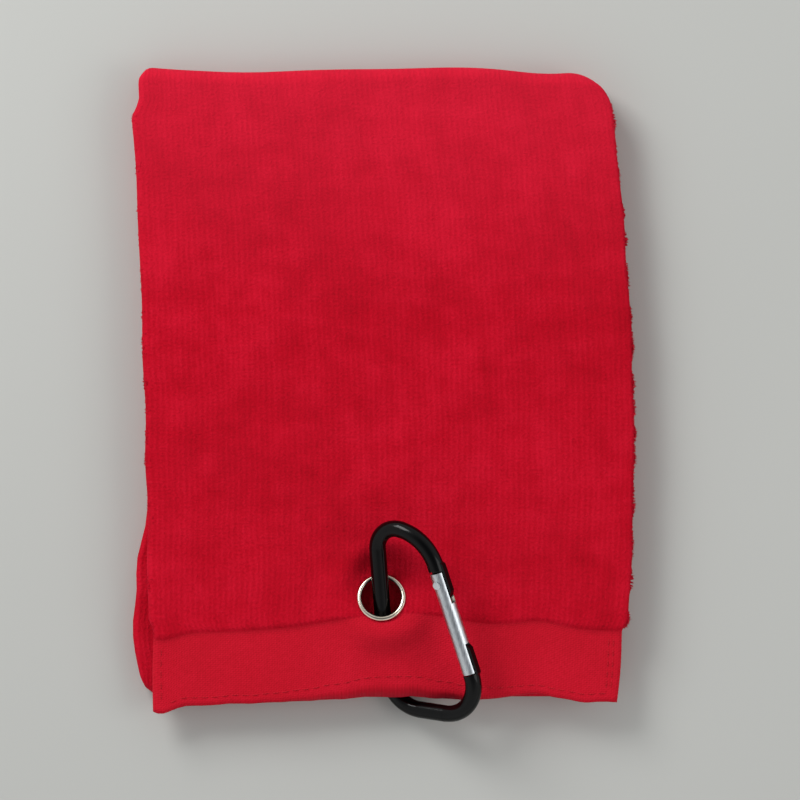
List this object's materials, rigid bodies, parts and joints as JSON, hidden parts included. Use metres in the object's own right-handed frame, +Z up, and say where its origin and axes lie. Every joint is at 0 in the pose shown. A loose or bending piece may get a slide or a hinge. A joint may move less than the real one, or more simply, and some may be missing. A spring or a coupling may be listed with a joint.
{
  "type": "golf towel",
  "caption": "Terry golf towel folded flat, with a woven border, a metal eyelet and a spring-gate carabiner threaded through it.",
  "frame": {"origin": "centre of the folded towel's underside", "axes": "+X across the fold, +Y from the hem and its eyelet towards the top fold, +Z up"},
  "size_m": [0.137, 0.1859, 0.0265],
  "materials": {
    "terry": "red cotton velour terry",
    "border": "red flat woven cotton",
    "thread": "red sewing thread",
    "nickel": "polished nickel plate",
    "black_enamel": "gloss black anodised aluminium",
    "bare_aluminium": "brushed aluminium"
  },
  "bodies": {
    "towel_base": {"bottom_panel": "terry", "middle_panel": "terry", "rear_border": "border"},
    "top_flap": {"top_panel": "terry", "front_border": "border", "hem_stitching": "thread", "side_stitching": "thread", "eyelet_barrel": "nickel", "eyelet_washer": "nickel"},
    "carabiner": {"carabiner_frame": "black_enamel", "gate_rivet": "bare_aluminium"},
    "gate": {"gate_sleeve": "bare_aluminium", "gate_spring": "nickel"},
    "plunger": {"spring_plunger": "nickel"}
  },
  "joints": [
    {"name": "top_fold", "type": "hinge", "parent": "towel_base", "child": "top_flap", "pos_m": [0, 0.0862, 0.0073], "axis": [-1, 0, 0], "range_deg": [0, 90]},
    {"name": "carabiner_swing", "type": "hinge", "parent": "top_flap", "child": "carabiner", "pos_m": [-0.0007, -0.0606, 0.01063], "axis": [0.0713, -0.948, -0.3101], "range_deg": [0, 115]},
    {"name": "gate_hinge", "type": "hinge", "parent": "carabiner", "child": "gate", "pos_m": [0.01619, -0.05584, 0.02307], "axis": [0.5087, 0.302, -0.8062], "range_deg": [0, 20], "stiffness_Nm_per_rad": 0.1, "springref_deg": -20.05},
    {"name": "plunger_slide", "type": "slide", "parent": "gate", "child": "plunger", "axis": [0.3082, -0.9383, -0.157], "range_m": [0, 0.00035], "stiffness_N_per_m": 20, "springref_m": -0.003, "deforming": ["gate_spring"]}
  ]
}
